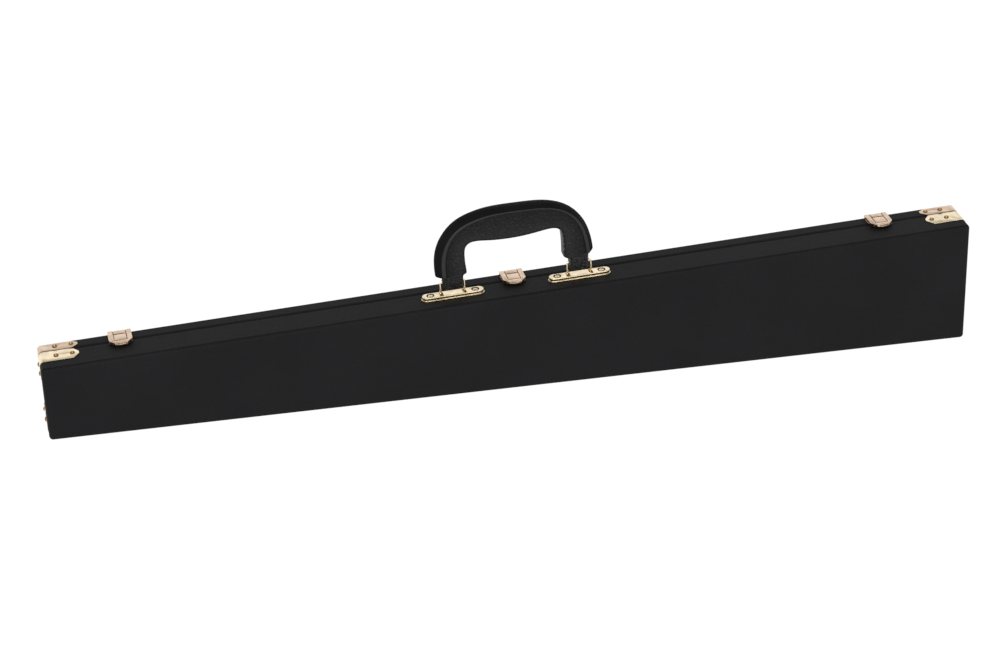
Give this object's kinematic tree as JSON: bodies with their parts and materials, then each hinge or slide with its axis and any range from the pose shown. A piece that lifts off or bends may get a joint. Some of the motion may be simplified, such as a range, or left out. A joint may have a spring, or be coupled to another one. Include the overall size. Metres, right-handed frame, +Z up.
{
  "type": "bow case",
  "caption": "Long tapered bow case in black leatherette with a hinged lid, snap latches, brass corner plates and a leather carrying handle",
  "frame": {"origin": "middle of the face on the lower long edge that the base stands on", "axes": "+X along the case towards its wide end, +Y from the deep base towards the shallow lid, +Z up towards the handle"},
  "size_m": [0.8038, 0.0451, 0.1665],
  "materials": {
    "leatherette": "matt black leatherette with a fine grain",
    "grip_leather": "black pebbled leather, satin",
    "plywood": "bare light plywood",
    "plush": "short wine-red plush",
    "yellow_brass": "bright yellow brass plate",
    "rose_brass": "bright rose-gold plate",
    "nail_bronze": "dark bronze nails",
    "clip_plastic": "black moulded plastic",
    "moulded_core": "dark moulded core"
  },
  "bodies": {
    "base": {"base_bottom_rail": "plywood", "base_corner_bottom_narrow": "yellow_brass", "base_corner_bottom_wide": "yellow_brass", "base_corner_nails": "nail_bronze", "base_corner_top_narrow": "yellow_brass", "base_corner_top_wide": "yellow_brass", "base_cover": "leatherette", "base_foot_strip": "leatherette", "base_lining": "plush", "base_narrow_end": "plywood", "base_panel": "plywood", "base_top_rail": "plywood", "base_wide_end": "plywood", "bracket_cover_narrow": "yellow_brass", "bracket_cover_wide": "yellow_brass", "bracket_flange_narrow": "yellow_brass", "bracket_flange_wide": "yellow_brass", "bracket_rivets": "yellow_brass", "clip_screws": "yellow_brass", "frog_rest": "plush", "hinge_base_leaves": "yellow_brass", "hinge_base_rivets": "yellow_brass", "hinge_pins": "yellow_brass", "latch_strike_middle": "rose_brass", "latch_strike_narrow": "rose_brass", "latch_strike_rivets": "nail_bronze", "latch_strike_wide": "rose_brass", "tip_rest": "plush"},
    "lid": {"hinge_lid_leaves": "yellow_brass", "hinge_lid_rivets": "yellow_brass", "latch_pins": "rose_brass", "latch_plate_middle": "rose_brass", "latch_plate_narrow": "rose_brass", "latch_plate_rivets": "nail_bronze", "latch_plate_wide": "rose_brass", "lid_bottom_rail": "plywood", "lid_corner_bottom_narrow": "rose_brass", "lid_corner_bottom_wide": "rose_brass", "lid_corner_nails": "nail_bronze", "lid_corner_top_narrow": "rose_brass", "lid_corner_top_wide": "rose_brass", "lid_cover": "leatherette", "lid_foot_strip": "leatherette", "lid_lining": "plush", "lid_narrow_end": "plywood", "lid_panel": "plywood", "lid_top_rail": "plywood", "lid_wide_end": "plywood"},
    "latch_lever_narrow": {"latch_lever_narrow": "rose_brass"},
    "latch_lever_middle": {"latch_lever_middle": "rose_brass"},
    "latch_lever_wide": {"latch_lever_wide": "rose_brass"},
    "ring_narrow": {"handle_ring_narrow": "yellow_brass"},
    "ring_wide": {"handle_ring_wide": "yellow_brass"},
    "handle": {"handle_core": "moulded_core", "handle_grip": "grip_leather"},
    "tip_clip": {"tip_clip": "clip_plastic"},
    "frog_clip": {"frog_clip": "clip_plastic"}
  },
  "joints": [
    {"name": "lid_hinge", "type": "hinge", "parent": "base", "child": "lid", "pos_m": [0, 0.01505, 0.0014], "axis": [-1, 0, 0], "range_deg": [0, 100]},
    {"name": "latch_narrow", "type": "hinge", "parent": "lid", "child": "latch_lever_narrow", "pos_m": [-0.33405, 0.02625, 0.07304], "axis": [-0.9985, 0, -0.0544], "range_deg": [0, 100]},
    {"name": "latch_middle", "type": "hinge", "parent": "lid", "child": "latch_lever_middle", "pos_m": [-0.00094, 0.02625, 0.09118], "axis": [-0.9985, 0, -0.0544], "range_deg": [0, 100]},
    {"name": "latch_wide", "type": "hinge", "parent": "lid", "child": "latch_lever_wide", "pos_m": [0.32498, 0.02625, 0.10893], "axis": [-0.9985, 0, -0.0544], "range_deg": [0, 100]},
    {"name": "ring_swing_narrow", "type": "hinge", "parent": "base", "child": "ring_narrow", "pos_m": [-0.05563, 0.003, 0.08755], "axis": [0.9985, 0, 0.0544], "range_deg": [-50, 50]},
    {"name": "ring_swing_wide", "type": "hinge", "parent": "base", "child": "ring_wide", "pos_m": [0.05381, 0.003, 0.09351], "axis": [0.9985, 0, 0.0544], "range_deg": [-50, 50]},
    {"name": "handle_swing", "type": "hinge", "parent": "ring_narrow", "child": "handle", "pos_m": [-0.05635, 0.003, 0.10093], "axis": [0.9985, 0, 0.0544], "range_deg": [-10, 10]},
    {"name": "tip_clip_turn", "type": "hinge", "parent": "base", "child": "tip_clip", "pos_m": [-0.338, 0.01228, 0.0385], "axis": [0, 1, 0], "range_deg": [0, 90]},
    {"name": "frog_clip_turn", "type": "hinge", "parent": "base", "child": "frog_clip", "pos_m": [0.262, 0.01228, 0.0385], "axis": [0, 1, 0], "range_deg": [0, 90]}
  ],
  "couplings": [
    {"joint": "ring_swing_wide", "follows": "ring_swing_narrow", "ratio": 1}
  ]
}
